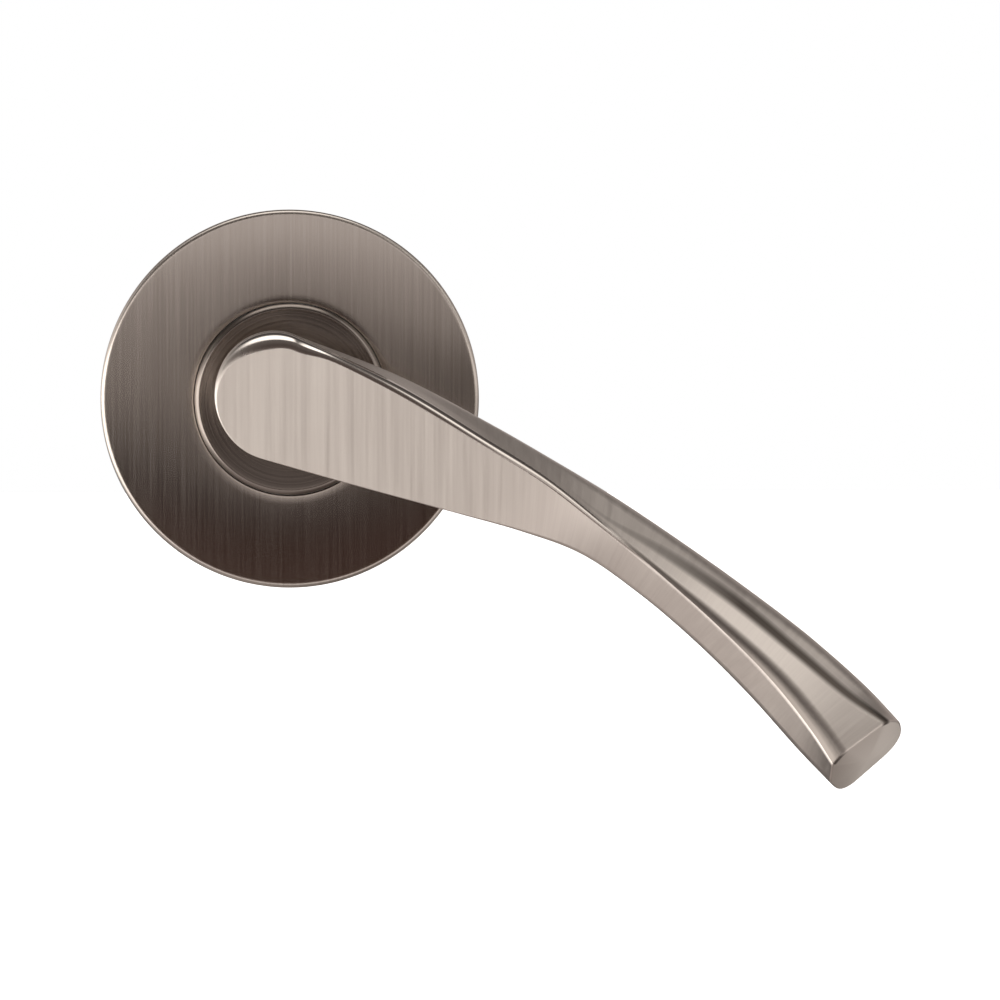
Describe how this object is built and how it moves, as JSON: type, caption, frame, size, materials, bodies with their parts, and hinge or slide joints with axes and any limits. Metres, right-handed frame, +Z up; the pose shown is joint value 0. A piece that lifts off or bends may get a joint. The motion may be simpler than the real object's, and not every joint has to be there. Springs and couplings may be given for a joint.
{
  "type": "door lever handle",
  "caption": "Sculpted lever handle on a round push-on rose with a spring-return cassette, square spindle and through-door fixings.",
  "frame": {"origin": "on the spindle's axis at the door's surface", "axes": "+Y into the door along the spindle, -Y out towards the hand, +X the way the lever reaches, +Z up"},
  "size_m": [0.1336, 0.1146, 0.0968],
  "materials": {
    "lever_nickel": "fine-brushed satin nickel",
    "cover_nickel": "satin nickel brushed up and down",
    "collar_nickel": "turned satin nickel",
    "plain_steel": "bright zinc-plated",
    "black_steel": "black oxide",
    "spring_steel": "oiled spring wire",
    "base_zinc": "raw die-cast",
    "bush_nylon": "natural nylon",
    "ring_rubber": "matt black"
  },
  "bodies": {
    "rose": {"rose_base": "base_zinc", "neck_collar": "collar_nickel", "neck_bush": "bush_nylon", "cover_ring": "ring_rubber", "return_spring": "spring_steel", "spring_post": "plain_steel", "stop_pin_left": "plain_steel", "stop_pin_right": "plain_steel", "cassette_cover": "plain_steel", "cassette_screw_1": "plain_steel", "cassette_screw_2": "plain_steel", "cassette_screw_3": "plain_steel", "cassette_screw_4": "plain_steel", "fixing_spigot_left": "plain_steel", "fixing_spigot_right": "plain_steel", "fixing_screw_left": "plain_steel", "fixing_screw_right": "plain_steel"},
    "lever": {"lever_handle": "lever_nickel", "grub_screw": "black_steel", "spindle": "plain_steel", "spring_cam": "black_steel", "thrust_washer": "plain_steel", "circlip": "black_steel"},
    "cover": {"rosette_cover": "cover_nickel"}
  },
  "joints": [
    {"name": "lever_turn", "type": "hinge", "parent": "rose", "child": "lever", "pos_m": [0, 0, 0], "axis": [0, 1, 0], "range_deg": [-45, 45], "stiffness_Nm_per_rad": 1.5, "springref_deg": -2.86, "deforming": ["return_spring"]},
    {"name": "cover_pull", "type": "slide", "parent": "rose", "child": "cover", "axis": [0, -1, 0], "range_m": [0, 0.025]}
  ]
}
